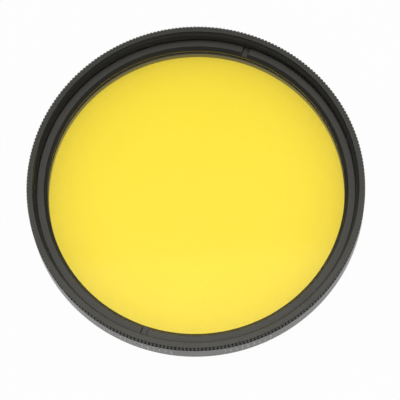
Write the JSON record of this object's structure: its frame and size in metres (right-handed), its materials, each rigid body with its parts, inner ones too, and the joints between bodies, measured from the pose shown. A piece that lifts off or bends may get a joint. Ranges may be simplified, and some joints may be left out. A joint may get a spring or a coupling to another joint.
{
  "type": "colour effect filter",
  "caption": "Screw-in yellow glass filter in a black knurled ring, held by a slotted retaining ring, with a rear male and a front female thread.",
  "frame": {"origin": "centre of the rear end face, on the optical axis", "axes": "+Z along the optical axis, from the rear male thread to the front female thread; +X to the right in the picture"},
  "size_m": [0.054, 0.054, 0.0072],
  "materials": {
    "black_anodised_ring": "satin black anodised, turned",
    "yellow_glass": "polished, dyed in the mass",
    "black_anodised_retainer": "satin black anodised, turned",
    "white_mark_paint": "matt white fill"
  },
  "bodies": {
    "root": {"filter_ring": "black_anodised_ring", "filter_glass": "yellow_glass", "retaining_ring": "black_anodised_retainer"}
  },
  "joints": []
}
